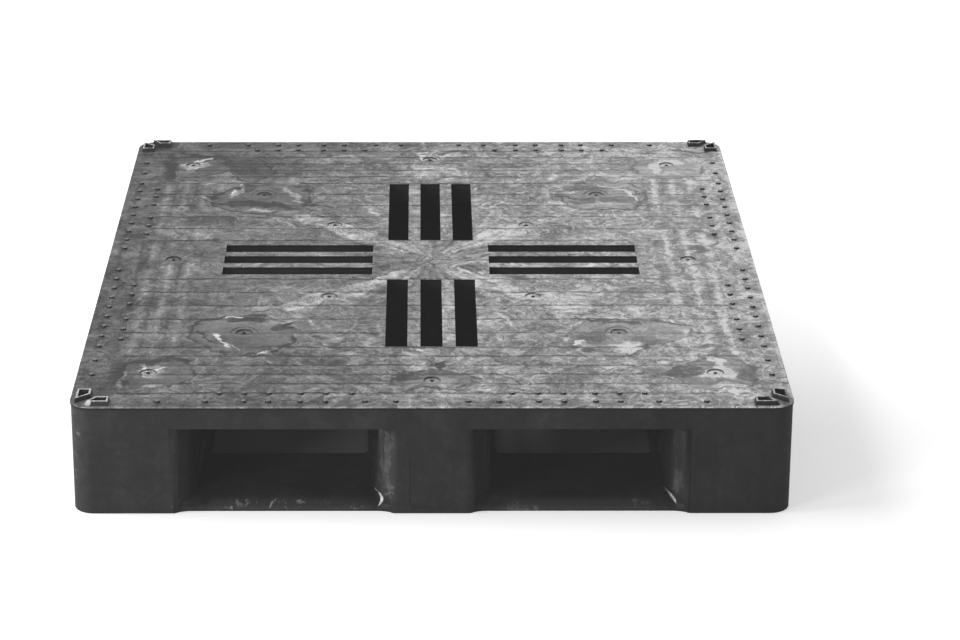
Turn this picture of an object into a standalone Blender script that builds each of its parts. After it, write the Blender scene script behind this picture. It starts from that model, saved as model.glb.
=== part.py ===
"""Closed-deck plastic pallet with a perimeter base, moulded as one piece.

Metres, +Z up. The origin is at the centre of the footprint, on the floor. The front, where
the long deck slots point, looks along -Y. Width runs along X and depth along Y.
"""
import math

import bmesh
import bpy

# Overall sizes
WIDTH = 1.000
DEPTH = 1.200
DECK_TOP = 0.160
DECK_THICKNESS = 0.0325
RAIL_TOP = 0.020

# Outer skin of the moulding
CORNER_RADIUS = 0.030
LIP_OVERHANG = 0.001
LIP_HEIGHT = 0.0035
TOP_EDGE_RADIUS = 0.0008
FOOT_FILLET = 0.002

# Blocks, as half widths of the middle ones and widths of the corner ones
MIDDLE_HALF_X = 0.086
MIDDLE_HALF_Y = 0.086
CORNER_BLOCK_X = 0.175
CORNER_BLOCK_Y = 0.225

# The blocks' flared sides, from the rounded edge at the mouth to the bend inside
CHEEK_FLARE = 0.040
CHEEK_ROUND = 0.018
CHEEK_SLOPE = 60
CHEEK_BEND = 0.040
CHEEK_FILLET = 0.008
CHEEK_DRAFT = 0.003

# Base rails, with ends that sweep forward along the cheeks, and the windows between them
RAIL_SETBACK = 0.0105
RAIL_FACE = 0.006
RAIL_RAMP = 0.025
RAIL_WIDTH_Y = 0.185
SWEEP_START = 0.012
SWEEP_RISE = 0.0045
SWEEP_REACH = 0.030
SWEEP_TOP_SETBACK = 0.012
SWEEP_TOP_REACH = 0.045
CROSS_HALF = 0.093
WINDOW_RADIUS = 0.012
WINDOW_RAMP = 0.028
WINDOW_CHAMFER = 0.003

# Deck slots, in four groups round the middle
SLOT_WIDTH = 0.032
SLOT_PITCH = 0.051
SLOTS_PER_GROUP = 3
SLOT_START = 0.090
SLOT_LENGTH_Y = 0.280
SLOT_LENGTH_X = 0.230

# Bare label panel, sunk into the front middle block
LABEL_WIDTH = 0.0625
LABEL_HEIGHT = 0.0865
LABEL_CENTRE_Z = 0.0515
LABEL_RADIUS = 0.006
LABEL_RECESS = 0.001

# Corner lugs: two hollow trays at each corner that a stacked pallet sits against.
# A cut is the slanted end that faces the other tray, from its outer to its inner side.
LUG_HEIGHT = 0.0065
LUG_DRAFT = 0.0015
LUG_RIM = 0.0025
LUG_EDGE = 0.0088
LUG_SIDE_WIDTH = 0.0188
LUG_SIDE_CUT = (0.0206, 0.0364)
LUG_SIDE_END = 0.0548
LUG_END_WIDTH = 0.0178
LUG_END_CUT = (0.0245, 0.0360)
LUG_END_END = 0.0538
LUG_POCKET_DEPTH = 0.012

# Anti-slip pips, measured from the deck's middle lines
PIP_RADIUS = 0.0042
PIP_TOP_RADIUS = 0.0026
PIP_HEIGHT = 0.0025
PIP_SIDES = 6
PIP_OUTER_EDGE = 0.021
PIP_INNER_EDGE = 0.050
PIP_END_ROW = (0.050, 0.0925, 0.147, 0.182, 0.226, 0.260, 0.313, 0.379)
PIP_END_INNER_ROW = (0.111, 0.147, 0.182, 0.226, 0.260, 0.295)
PIP_SIDE_FIRST = 0.050
PIP_SIDE_PITCH = 0.040
PIP_SIDE_COUNT = 9
PIP_SIDE_LAST = (0.425, 0.480)
PIP_SIDE_INNER_ROW = (0.117, 0.157, 0.197, 0.262, 0.302, 0.342)

# Gate marks, where the plastic entered the mould
GATE_RADIUS = 0.0115
GATE_DEPTH = 0.0010
GATE_SIDES = 10
GATE_CORNER = (0.400, 0.471)
GATE_QUARTER = (0.273, 0.314)
GATE_INNER = (0.153, 0.163)
GATE_MIDDLE_X = 0.399
GATE_MIDDLE_Y = 0.500

# Hollows in the underside
SKIN = 0.0055
RIB = 0.004
OUTER_WALL = 0.012
DECK_WALL = 0.008
BAY_CELL_X = 0.080
BAY_CELL_Y = 0.057
EDGE_CELL = 0.035
BLOCK_CELL = 0.056
RAIL_CELL = 0.085
CELL_CORNER_CUT = 0.014

ARC_STEPS = 6
CHEEK_STEPS = 4
BEND_STEPS = 2
SWEEP_STEPS = 3
FILLET_STEPS = (45, 90)
OVERCUT = 0.002
WELD_DEPTH = 0.002

HALF_X = WIDTH / 2
HALF_Y = DEPTH / 2
DECK_BOTTOM = DECK_TOP - DECK_THICKNESS
CORNER_X = HALF_X - CORNER_BLOCK_X
CORNER_Y = HALF_Y - CORNER_BLOCK_Y
QUARTERS = ((1, 1), (-1, 1), (-1, -1), (1, -1))


def clear_scene():
    for old in list(bpy.data.objects):
        bpy.data.objects.remove(old, do_unlink=True)


def moulded_plastic():
    """Charcoal recycled polyolefin with a dull moulded skin."""
    material = bpy.data.materials.new("moulded_plastic")
    material.use_nodes = True
    shader = material.node_tree.nodes["Principled BSDF"]
    shader.inputs["Base Color"].default_value = (0.045, 0.045, 0.047, 1.0)
    shader.inputs["Roughness"].default_value = 0.55
    shader.inputs["Metallic"].default_value = 0.0
    return material


def arc(centre_x, centre_y, radius_x, radius_y, start, end, steps=ARC_STEPS):
    """Points on an ellipse from start to end degrees."""
    points = []
    for step in range(steps + 1):
        angle = math.radians(start + (end - start) * step / steps)
        points.append((centre_x + radius_x * math.cos(angle), centre_y + radius_y * math.sin(angle)))
    return points


def rounded_rectangle(x0, x1, y0, y1, radius, steps=ARC_STEPS):
    points = arc(x1 - radius, y1 - radius, radius, radius, 0, 90, steps)
    points += arc(x0 + radius, y1 - radius, radius, radius, 90, 180, steps)
    points += arc(x0 + radius, y0 + radius, radius, radius, 180, 270, steps)
    points += arc(x1 - radius, y0 + radius, radius, radius, 270, 360, steps)
    return points


def centred_rectangle(half_x, half_y, radius, steps=ARC_STEPS):
    return rounded_rectangle(-half_x, half_x, -half_y, half_y, radius, steps)


def signed_area(outline):
    total = 0.0
    for (x0, y0), (x1, y1) in zip(outline, outline[1:] + outline[:1]):
        total += x0 * y1 - x1 * y0
    return total / 2


def add_loft(mesh, layers):
    """A closed solid through layers of (outline, height), each with as many points."""
    rings = []
    turn = -1 if signed_area(layers[0][0]) < 0 else 1
    for outline, height in layers:
        rings.append([mesh.verts.new((x, y, height)) for x, y in outline[::turn]])
    count = len(rings[0])
    for lower, upper in zip(rings, rings[1:]):
        for i in range(count):
            j = (i + 1) % count
            mesh.faces.new((lower[i], lower[j], upper[j], upper[i]))
    mesh.faces.new(rings[0][::-1])
    mesh.faces.new(rings[-1])


def add_prism(mesh, outline, z0, z1):
    add_loft(mesh, [(outline, z0), (outline, z1)])


def add_box(mesh, x0, x1, y0, y1, z0, z1):
    add_prism(mesh, [(x0, y0), (x1, y0), (x1, y1), (x0, y1)], z0, z1)


def mirrored(outline, sign_x, sign_y):
    return [(x * sign_x, y * sign_y) for x, y in outline]


def span(low, high, sign):
    """The range from low to high on the side that sign names."""
    return (low, high) if sign > 0 else (-high, -low)


def new_object(name, mesh, material=None):
    data = bpy.data.meshes.new(name)
    mesh.to_mesh(data)
    mesh.free()
    if material:
        data.materials.append(material)
    item = bpy.data.objects.new(name, data)
    bpy.context.scene.collection.objects.link(item)
    return item


def combine(body, name, mesh, operation):
    """Cuts a helper shape out of the body, or joins it on, and returns the helper."""
    helper = new_object(name, mesh)
    helper.hide_render = True
    helper.display_type = "WIRE"
    boolean = body.modifiers.new(name, "BOOLEAN")
    boolean.operation = operation
    boolean.solver = "EXACT"
    boolean.object = helper
    return helper


def outer_shell(material):
    """The whole outside: filleted foot, plumb walls, and the lip round the deck."""
    wall_x = HALF_X - LIP_OVERHANG
    wall_y = HALF_Y - LIP_OVERHANG
    wall_radius = CORNER_RADIUS - LIP_OVERHANG
    layers = []
    for inset, height in arc(FOOT_FILLET, FOOT_FILLET, FOOT_FILLET, FOOT_FILLET, 270, 180, 3):
        outline = centred_rectangle(wall_x - inset, wall_y - inset, wall_radius - inset)
        layers.append((outline, height))
    lip_bottom = DECK_TOP - LIP_HEIGHT
    layers.append((centred_rectangle(wall_x, wall_y, wall_radius), lip_bottom - LIP_OVERHANG))
    full = centred_rectangle(HALF_X, HALF_Y, CORNER_RADIUS)
    layers.append((full, lip_bottom))
    layers.append((full, DECK_TOP - TOP_EDGE_RADIUS))
    top = centred_rectangle(HALF_X - TOP_EDGE_RADIUS, HALF_Y - TOP_EDGE_RADIUS,
                            CORNER_RADIUS - TOP_EDGE_RADIUS)
    layers.append((top, DECK_TOP))
    mesh = bmesh.new()
    add_loft(mesh, layers)
    return new_object("pallet_body", mesh, material)


def cheek_plan(flare):
    """A block's flared side as (across, depth) from the mouth's edge on the outer face.

    It starts outside the face, so that a cutter made from it comes out through the wall.
    """
    slope = math.radians(CHEEK_SLOPE)
    sine = math.sin(slope)
    straight = flare - CHEEK_ROUND * sine - CHEEK_BEND * (1 - sine)
    depth = (CHEEK_ROUND * (1 - math.cos(slope)) + straight * math.tan(slope)
             + CHEEK_BEND * math.cos(slope))
    edge = arc(0, CHEEK_ROUND, CHEEK_ROUND, CHEEK_ROUND, -90, CHEEK_SLOPE - 90, CHEEK_STEPS)
    bend = arc(flare - CHEEK_BEND, depth, CHEEK_BEND, CHEEK_BEND, CHEEK_SLOPE - 90, 0, BEND_STEPS)
    lead_in = (-OVERCUT * edge[1][0] / edge[1][1], -OVERCUT)
    return [lead_in] + edge[1:] + bend


def tunnel_outline(near, far, half_length, spread):
    """Plan of one fork tunnel along its second axis, wider inside by a spread on each side."""
    cheek = cheek_plan(CHEEK_FLARE - spread)
    face = half_length - LIP_OVERHANG
    near_side = [(near - CHEEK_FLARE + across, face - depth) for across, depth in cheek]
    far_side = [(far + CHEEK_FLARE - across, face - depth) for across, depth in cheek]
    outline = far_side[::-1] + near_side
    return outline + [(x, -y) for x, y in outline[::-1]]


def placed(outline, sign, along_y):
    """A tunnel's plan on its side of the middle, left along Y or turned along X."""
    if along_y:
        return [(sign * x, y) for x, y in outline]
    return [(y, sign * x) for x, y in outline]


def add_tunnel(mesh, near, far, half_length, sign, along_y):
    """A tunnel whose sides lean out a little and meet the rail below in a fillet."""
    spreads = [(0.0, -OVERCUT), (0.0, RAIL_TOP)]
    for degrees in FILLET_STEPS:
        angle = math.radians(degrees)
        height = RAIL_TOP + CHEEK_FILLET * (1 - math.cos(angle))
        spreads.append((CHEEK_FILLET * math.sin(angle), height))
    spreads.append((CHEEK_FILLET + CHEEK_DRAFT, DECK_BOTTOM))
    layers = []
    for spread, height in spreads:
        layers.append((placed(tunnel_outline(near, far, half_length, spread), sign, along_y), height))
    add_loft(mesh, layers)


def rail_outline(near, far, half_length, setback, start, reach):
    """Plan of the rail under one tunnel: straight mouths whose ends sweep forward."""
    sweep = [(0.0, reach)]
    for step in range(SWEEP_STEPS + 1):
        left = 1 - step / SWEEP_STEPS
        sweep.append((reach - (reach - SWEEP_START) * left, setback - (setback - start) * left ** 2))
    near_side = [(near - CHEEK_FLARE + across, half_length - depth) for across, depth in sweep]
    far_side = [(far + CHEEK_FLARE - across, half_length - depth) for across, depth in sweep]
    outline = far_side + near_side[::-1]
    return outline + [(x, -y) for x, y in outline[::-1]]


def add_rail(mesh, near, far, half_length, sign, along_y):
    """What stays solid under a tunnel: a rail with a low face and a ramp at each mouth."""
    low = rail_outline(near, far, half_length, RAIL_SETBACK, RAIL_SETBACK - SWEEP_RISE, SWEEP_REACH)
    high = rail_outline(near, far, half_length, RAIL_SETBACK + RAIL_RAMP, SWEEP_TOP_SETBACK,
                        SWEEP_TOP_REACH)
    low = placed(low, sign, along_y)
    high = placed(high, sign, along_y)
    add_loft(mesh, [(low, -2 * OVERCUT), (low, RAIL_FACE), (high, RAIL_TOP)])


def cut_tunnels(body):
    """Two fork tunnels each way, open at both ends, with the base rails left under them."""
    ways = (
        ("depth", MIDDLE_HALF_X, CORNER_X, HALF_Y, True),
        ("width", MIDDLE_HALF_Y, CORNER_Y, HALF_X, False),
    )
    for name, near, far, half_length, along_y in ways:
        mesh = bmesh.new()
        core = bmesh.new()
        for sign in (1, -1):
            add_tunnel(mesh, near, far, half_length, sign, along_y)
            add_rail(core, near, far, half_length, sign, along_y)
        tunnels = combine(body, "tunnels_along_" + name, mesh, "DIFFERENCE")
        combine(tunnels, "rails_along_" + name, core, "DIFFERENCE")


def cut_windows(body):
    """Four openings in the base, with ramps for pallet truck wheels."""
    mesh = bmesh.new()
    for sign_x, sign_y in QUARTERS:
        outer_x = CORNER_X - WINDOW_CHAMFER
        outer_y = HALF_Y - RAIL_SETBACK - RAIL_WIDTH_Y
        layers = []
        for height, spread in ((-OVERCUT, 0), (RAIL_FACE, 0), (RAIL_TOP, 1)):
            x0, x1 = span(CROSS_HALF - spread * WINDOW_CHAMFER,
                          outer_x - WINDOW_CHAMFER * (1 - spread), sign_x)
            y0, y1 = span(CROSS_HALF - spread * WINDOW_RAMP,
                          outer_y + spread * WINDOW_RAMP, sign_y)
            layers.append((rounded_rectangle(x0, x1, y0, y1, WINDOW_RADIUS, 3), height))
        layers.append((layers[-1][0], RAIL_TOP + OVERCUT))
        add_loft(mesh, layers)
    combine(body, "base_windows", mesh, "DIFFERENCE")


def slot_offsets():
    middle = (SLOTS_PER_GROUP - 1) / 2
    return [(i - middle) * SLOT_PITCH for i in range(SLOTS_PER_GROUP)]


def cut_slots(body):
    """Long drain slots through the deck, in a cross round the middle."""
    mesh = bmesh.new()
    z0 = DECK_BOTTOM - OVERCUT
    z1 = DECK_TOP + OVERCUT
    for sign in (1, -1):
        for offset in slot_offsets():
            low = offset - SLOT_WIDTH / 2
            high = offset + SLOT_WIDTH / 2
            y0, y1 = span(SLOT_START, SLOT_START + SLOT_LENGTH_Y, sign)
            add_box(mesh, low, high, y0, y1, z0, z1)
            x0, x1 = span(SLOT_START, SLOT_START + SLOT_LENGTH_X, sign)
            add_box(mesh, x0, x1, low, high, z0, z1)
    combine(body, "deck_slots", mesh, "DIFFERENCE")


def cut_label(body):
    """A bare sunk panel on the front middle block."""
    mesh = bmesh.new()
    outline = centred_rectangle(LABEL_WIDTH / 2, LABEL_HEIGHT / 2, LABEL_RADIUS, 3)
    wall = HALF_Y - LIP_OVERHANG
    add_prism(mesh, outline, wall - LABEL_RECESS, HALF_Y + OVERCUT)
    for vert in mesh.verts:
        across, up, out = vert.co
        vert.co = (across, -out, up + LABEL_CENTRE_Z)
    bmesh.ops.recalc_face_normals(mesh, faces=mesh.faces[:])
    combine(body, "label_panel", mesh, "DIFFERENCE")


def grown(outline, distance):
    """A convex outline with every side moved outwards, or inwards below zero."""
    turn = 1 if signed_area(outline) > 0 else -1
    normals = []
    for (x0, y0), (x1, y1) in zip(outline, outline[1:] + outline[:1]):
        length = math.hypot(x1 - x0, y1 - y0)
        normals.append((turn * (y1 - y0) / length, turn * (x0 - x1) / length))
    points = []
    for (x, y), before, after in zip(outline, normals[-1:] + normals[:-1], normals):
        scale = distance / (1 + before[0] * after[0] + before[1] * after[1])
        points.append((x + (before[0] + after[0]) * scale, y + (before[1] + after[1]) * scale))
    return points


def tray_plan(width, cut, end):
    """A tray as (from the edge it runs along, from the other edge)."""
    return [(LUG_EDGE, cut[0]), (LUG_EDGE + width, cut[1]), (LUG_EDGE + width, end), (LUG_EDGE, end)]


def lug_trays():
    """Plans of one corner's two trays, in the quarter where X and Y are above zero."""
    side = tray_plan(LUG_SIDE_WIDTH, LUG_SIDE_CUT, LUG_SIDE_END)
    end = tray_plan(LUG_END_WIDTH, LUG_END_CUT, LUG_END_END)
    return ([(HALF_X - across, HALF_Y - along) for across, along in side],
            [(HALF_X - along, HALF_Y - across) for across, along in end])


def add_lugs(body):
    """Hollow trays that stand on the deck's corners and locate the pallet stacked above."""
    walls = bmesh.new()
    hollows = bmesh.new()
    top = DECK_TOP + LUG_HEIGHT
    for sign_x, sign_y in QUARTERS:
        for tray in lug_trays():
            rim = mirrored(tray, sign_x, sign_y)
            foot = grown(rim, LUG_DRAFT)
            add_loft(walls, [(foot, DECK_TOP - WELD_DEPTH), (foot, DECK_TOP), (rim, top)])
            add_prism(hollows, grown(rim, -LUG_RIM), top - LUG_POCKET_DEPTH, top + OVERCUT)
    combine(body, "lug_walls", walls, "UNION")
    combine(body, "lug_hollows", hollows, "DIFFERENCE")


def pip_places():
    """Centres of the pips in one quarter of the deck, in rows along its edges."""
    outer_y = HALF_Y - PIP_OUTER_EDGE
    inner_y = HALF_Y - PIP_INNER_EDGE
    outer_x = HALF_X - PIP_OUTER_EDGE
    inner_x = HALF_X - PIP_INNER_EDGE
    places = [(x, outer_y) for x in PIP_END_ROW]
    places += [(x, inner_y) for x in PIP_END_INNER_ROW]
    side_row = [PIP_SIDE_FIRST + i * PIP_SIDE_PITCH for i in range(PIP_SIDE_COUNT)]
    places += [(outer_x, y) for y in side_row + list(PIP_SIDE_LAST)]
    places += [(inner_x, y) for y in PIP_SIDE_INNER_ROW]
    return places


def add_pips(body):
    """Small tapered studs that stop the load from sliding."""
    mesh = bmesh.new()
    for sign_x, sign_y in QUARTERS:
        for x, y in pip_places():
            layers = []
            for radius, height in ((PIP_RADIUS, DECK_TOP - WELD_DEPTH), (PIP_RADIUS, DECK_TOP),
                                   (PIP_TOP_RADIUS, DECK_TOP + PIP_HEIGHT)):
                circle = arc(x * sign_x, y * sign_y, radius, radius, 0, 360, PIP_SIDES)[:-1]
                layers.append((circle, height))
            add_loft(mesh, layers)
    combine(body, "anti_slip_pips", mesh, "UNION")


def cut_gate_marks(body):
    """Shallow round dimples over the mould's gates."""
    places = {(0.0, GATE_MIDDLE_Y), (0.0, -GATE_MIDDLE_Y), (GATE_MIDDLE_X, 0.0), (-GATE_MIDDLE_X, 0.0)}
    for sign_x, sign_y in QUARTERS:
        for x, y in (GATE_CORNER, GATE_QUARTER, GATE_INNER):
            places.add((x * sign_x, y * sign_y))
    mesh = bmesh.new()
    for x, y in sorted(places):
        circle = arc(x, y, GATE_RADIUS, GATE_RADIUS, 0, 360, GATE_SIDES)[:-1]
        add_prism(mesh, circle, DECK_TOP - GATE_DEPTH, DECK_TOP + OVERCUT)
    combine(body, "gate_marks", mesh, "DIFFERENCE")


def cheek_inset(from_face):
    """How far a block's side has drawn in from its foot line, at a distance from the face."""
    spread = CHEEK_FILLET + CHEEK_DRAFT
    plan = cheek_plan(CHEEK_FLARE - spread)
    for (across0, depth0), (across1, depth1) in zip(plan, plan[1:]):
        if from_face < depth1:
            share = (from_face - depth0) / (depth1 - depth0)
            return CHEEK_FLARE - across0 - (across1 - across0) * share
    return spread


def divide(low, high, pitch):
    """Equal cells between low and high, about a pitch apart, with a rib between them."""
    count = max(1, round((high - low) / pitch))
    size = (high - low - (count - 1) * RIB) / count
    return [(low + i * (size + RIB), low + i * (size + RIB) + size) for i in range(count)]


def both_sides(ranges):
    return ranges + [(-high, -low) for low, high in ranges]


def add_grid(mesh, x_ranges, y_ranges, z0, z1):
    for x0, x1 in x_ranges:
        for y0, y1 in y_ranges:
            add_box(mesh, x0, x1, y0, y1, z0, z1)


def trim_to_block(low, high, from_face, middle_half, corner_start):
    """Keeps a cell's range inside its block where the block's flared side draws in."""
    inset = cheek_inset(from_face)
    limit = middle_half - inset - RIB
    start = corner_start + inset + RIB
    if max(abs(low), abs(high)) < middle_half:
        return max(low, -limit), min(high, limit)
    if low > 0:
        return max(low, start), high
    return low, min(high, -start)


def under_corner(cell):
    """True where a hollow lies under the round corner, and so under a lug."""
    x0, x1, y0, y1 = [abs(value) for value in cell]
    return HALF_X - max(x0, x1) < CORNER_RADIUS and HALF_Y - max(y0, y1) < CORNER_RADIUS


def block_cell(cell):
    """Plan of a hollow in a block, with its corner cut where the pallet's corner is round."""
    x0, x1, y0, y1 = cell
    from_side = HALF_X - max(abs(x0), abs(x1))
    from_end = HALF_Y - max(abs(y0), abs(y1))
    x0, x1 = trim_to_block(x0, x1, from_end, MIDDLE_HALF_X, CORNER_X)
    y0, y1 = trim_to_block(y0, y1, from_side, MIDDLE_HALF_Y, CORNER_Y)
    if not under_corner(cell):
        return [(x0, y0), (x1, y0), (x1, y1), (x0, y1)]
    near_x, far_x = sorted((x0, x1), key=abs)
    near_y, far_y = sorted((y0, y1), key=abs)
    cut_x = far_x - math.copysign(CELL_CORNER_CUT, far_x)
    cut_y = far_y - math.copysign(CELL_CORNER_CUT, far_y)
    return [(near_x, near_y), (far_x, near_y), (far_x, cut_y), (cut_x, far_y), (near_x, far_y)]


def add_block_cells(mesh):
    """Deep cells that leave each block a shell with crossed ribs, open underneath."""
    lug_floor = DECK_TOP + LUG_HEIGHT - LUG_POCKET_DEPTH
    middle_x = divide(RIB - MIDDLE_HALF_X, MIDDLE_HALF_X - RIB, BLOCK_CELL)
    middle_y = divide(RIB - MIDDLE_HALF_Y, MIDDLE_HALF_Y - RIB, BLOCK_CELL)
    corner_x = both_sides(divide(CORNER_X + RIB, HALF_X - OUTER_WALL, BLOCK_CELL))
    corner_y = both_sides(divide(CORNER_Y + RIB, HALF_Y - OUTER_WALL, BLOCK_CELL))
    for x0, x1 in middle_x + corner_x:
        for y0, y1 in middle_y + corner_y:
            cell = (x0, x1, y0, y1)
            ceiling = lug_floor if under_corner(cell) else DECK_TOP
            add_prism(mesh, block_cell(cell), -OVERCUT, ceiling - SKIN)


def add_deck_cells(mesh):
    """Shallow cells under the deck between the blocks, with closer ribs near the edges."""
    gap = RIB / 2
    bay_x = both_sides(divide(MIDDLE_HALF_X + gap, CORNER_X - gap, BAY_CELL_X))
    bay_y = both_sides(divide(MIDDLE_HALF_Y + gap, CORNER_Y - gap, BAY_CELL_Y))
    edge_x = both_sides(divide(CORNER_X + gap, HALF_X - DECK_WALL, EDGE_CELL))
    edge_y = both_sides(divide(CORNER_Y + gap, HALF_Y - DECK_WALL, EDGE_CELL))
    z0 = DECK_BOTTOM - OVERCUT
    z1 = DECK_TOP - SKIN
    add_grid(mesh, bay_x, bay_y, z0, z1)
    add_grid(mesh, bay_x, edge_y, z0, z1)
    add_grid(mesh, edge_x, bay_y, z0, z1)


def add_rail_cells(mesh):
    """Hollows in the base rails, open underneath, clear of the ramps along their edges."""
    bay_x = both_sides(divide(MIDDLE_HALF_X + RIB, CORNER_X - RIB, RAIL_CELL))
    bay_y = both_sides(divide(MIDDLE_HALF_Y + RIB, CORNER_Y - RIB, RAIL_CELL))
    end_low = HALF_Y - RAIL_SETBACK - RAIL_WIDTH_Y + WINDOW_RAMP
    end_rail = both_sides(divide(end_low, HALF_Y - RAIL_SETBACK - RAIL_RAMP, RAIL_CELL))
    side_rail = both_sides(divide(CORNER_X + RIB, HALF_X - RAIL_SETBACK - RAIL_RAMP, RAIL_CELL))
    cross_x = divide(RIB - MIDDLE_HALF_X, MIDDLE_HALF_X - RIB, RAIL_CELL)
    cross_y_half = CROSS_HALF - WINDOW_RAMP - RIB
    cross_y = divide(-cross_y_half, cross_y_half, RAIL_CELL)
    z1 = RAIL_TOP - SKIN
    add_grid(mesh, bay_x, end_rail, -OVERCUT, z1)
    add_grid(mesh, side_rail, bay_y, -OVERCUT, z1)
    add_grid(mesh, cross_x, bay_y, -OVERCUT, z1)
    add_grid(mesh, bay_x, cross_y, -OVERCUT, z1)


def cut_underside(body):
    mesh = bmesh.new()
    add_block_cells(mesh)
    add_deck_cells(mesh)
    add_rail_cells(mesh)
    combine(body, "underside_hollows", mesh, "DIFFERENCE")


def build():
    clear_scene()
    body = outer_shell(moulded_plastic())
    cut_tunnels(body)
    cut_windows(body)
    cut_slots(body)
    cut_label(body)
    add_lugs(body)
    add_pips(body)
    cut_gate_marks(body)
    cut_underside(body)


build()
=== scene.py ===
"""Looks of a closed-deck plastic pallet: its moulded skin, flow-marked deck, pips and gate marks.

Metres, +Z up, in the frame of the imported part.
"""
import math

import bmesh
import bpy
from mathutils import Matrix, Vector


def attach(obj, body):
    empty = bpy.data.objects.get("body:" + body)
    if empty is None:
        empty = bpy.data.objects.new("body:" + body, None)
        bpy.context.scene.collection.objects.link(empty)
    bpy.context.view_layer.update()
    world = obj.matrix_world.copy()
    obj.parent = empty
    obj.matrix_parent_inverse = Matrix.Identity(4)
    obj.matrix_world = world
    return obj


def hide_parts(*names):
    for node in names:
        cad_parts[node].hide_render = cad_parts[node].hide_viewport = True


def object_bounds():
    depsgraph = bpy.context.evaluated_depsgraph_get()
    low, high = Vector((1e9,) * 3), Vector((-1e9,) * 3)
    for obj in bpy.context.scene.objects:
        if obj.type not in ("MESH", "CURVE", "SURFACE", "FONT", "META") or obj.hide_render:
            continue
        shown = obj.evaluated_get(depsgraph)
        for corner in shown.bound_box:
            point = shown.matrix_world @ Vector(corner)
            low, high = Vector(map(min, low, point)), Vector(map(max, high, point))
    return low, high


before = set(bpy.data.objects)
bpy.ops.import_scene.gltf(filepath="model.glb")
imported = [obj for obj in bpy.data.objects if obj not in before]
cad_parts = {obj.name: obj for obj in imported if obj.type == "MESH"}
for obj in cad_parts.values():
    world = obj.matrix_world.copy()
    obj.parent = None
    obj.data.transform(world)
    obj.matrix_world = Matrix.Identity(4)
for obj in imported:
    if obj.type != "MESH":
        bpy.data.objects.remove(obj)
cad_low, cad_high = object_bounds()

MM = 0.001
QUARTERS = ((1, 1), (-1, 1), (-1, -1), (1, -1))

# Camera, fitted to the photograph's 960 by 640 frame
FOCAL_PIXELS = 3123.4
IMAGE_WIDTH = 960
PRINCIPAL_X = 432.7
SENSOR_WIDTH = 36.0
CAMERA_PLACE = (-0.016, -4.559, 1.803)
CAMERA_PITCH = 20.93
CAMERA_YAW = 0.24
CAMERA_ROLL = -0.06

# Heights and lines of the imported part
DECK_TOP = 0.160
DECK_BOTTOM = 0.1275
RAIL_TOP = 0.020
RAIL_FACE = 0.006
LUG_TOP = cad_high.z
HALF_X = cad_high.x
HALF_Y = cad_high.y

SLOT_START = 0.090
SLOT_END_X = 0.320
SLOT_END_Y = 0.370
SLOT_GROUP_HALF = 0.067

# Anti-slip pips: how far the two rows lie from the edge, and the places along them
PIP_OUTER_EDGE = 0.021
PIP_INNER_EDGE = 0.050
PIP_END_ROW = (0.050, 0.0925, 0.147, 0.182, 0.226, 0.260, 0.313, 0.379)
PIP_END_INNER_ROW = (0.111, 0.147, 0.182, 0.226, 0.260, 0.295)
PIP_SIDE_ROW = [0.050 + 0.040 * i for i in range(9)] + [0.425, 0.480]
PIP_SIDE_INNER_ROW = (0.117, 0.157, 0.197, 0.262, 0.302, 0.342)
PIP_SIZES = {"Foot radius": 4.6 * MM, "Top radius": 3.3 * MM, "Height": 3.3 * MM}
PIP_FOOT = DECK_TOP - 0.5 * MM

# Gate marks: the gates' places, the nub in each dimple and the thin rings round it
GATE_CORNER = (0.400, 0.471)
GATE_QUARTER = (0.273, 0.314)
GATE_INNER = (0.153, 0.163)
GATE_MIDDLE_X = 0.399
GATE_MIDDLE_Y = 0.500
NUB_SIZES = {"Foot radius": 3.2 * MM, "Top radius": 2.2 * MM, "Height": 1.9 * MM}
NUB_FOOT = DECK_TOP - 1.5 * MM
GATE_RING = {"Ring radius": 11.8 * MM, "Bead radius": 0.45 * MM}
QUARTER_RING = {"Ring radius": 20.0 * MM, "Bead radius": 0.3 * MM}
RING_TIP = math.radians(3.0)

# Ribs under the deck: first line from the middle, pitch, and where the lines start and end
FIELD_RIBS = (0.088, 0.057, 0.080, 0.385)
END_RIBS = (0.407, 0.035, 0.390, 0.560)
SIDE_RIBS = (0.371, 0.031, 0.352, 0.450)
SIDE_GAPS = (0.354, 0.0325, 0.345, 0.490)
CREST_SHIFT = 9 * MM

# Painted highlights on the cheeks' rounded edges: the edges in X and the heights between which they are
# painted pale
PAINTED_HIGHLIGHT_EDGES = (-0.048, 0.354)
PAINTED_HIGHLIGHT_FOOT = 0.018
PAINTED_HIGHLIGHT_HEAD = 0.122
# The pale tone painted as light on the cheeks' edges and on the rail ramps
PAINTED_LIGHT_TONE = 0.86

# Pale crescents at the cheeks' feet: the top end in X and down the slope, the length, the lean and the bow
PALE_FOOT_CRESCENTS = ((-0.0818, -0.1790, 0.0249, 1.605, -54.6), (0.3233, -0.1772, 0.0230, 1.100, -16.0))
SLOPE_Y = 0.357
SLOPE_Z = 0.934

# The rails' front ramps, painted pale as light, in Y and in X to both sides, and a painted highlight on one
# lug's tip
RAMP_FRONT = -0.594
RAMP_BACK = -0.560
RAMP_START = 0.100
RAMP_END = 0.310
LUG_TIP_HIGHLIGHT = (-0.4740, -0.5915, 0.1640)

# Glow that only the camera sees: of the floor in front of the pallet, behind it and under it
FLOOR_GLOW = 0.43
BACK_GLOW = 0.72
UNDER_GLOW = 0.016
WHITE = (1.0, 1.0, 1.0, 1.0)

# A faint glow painted into every plastic, which keeps the deepest shade at a dark grey
PAINTED_SHADE_GLOW = 0.016


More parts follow.
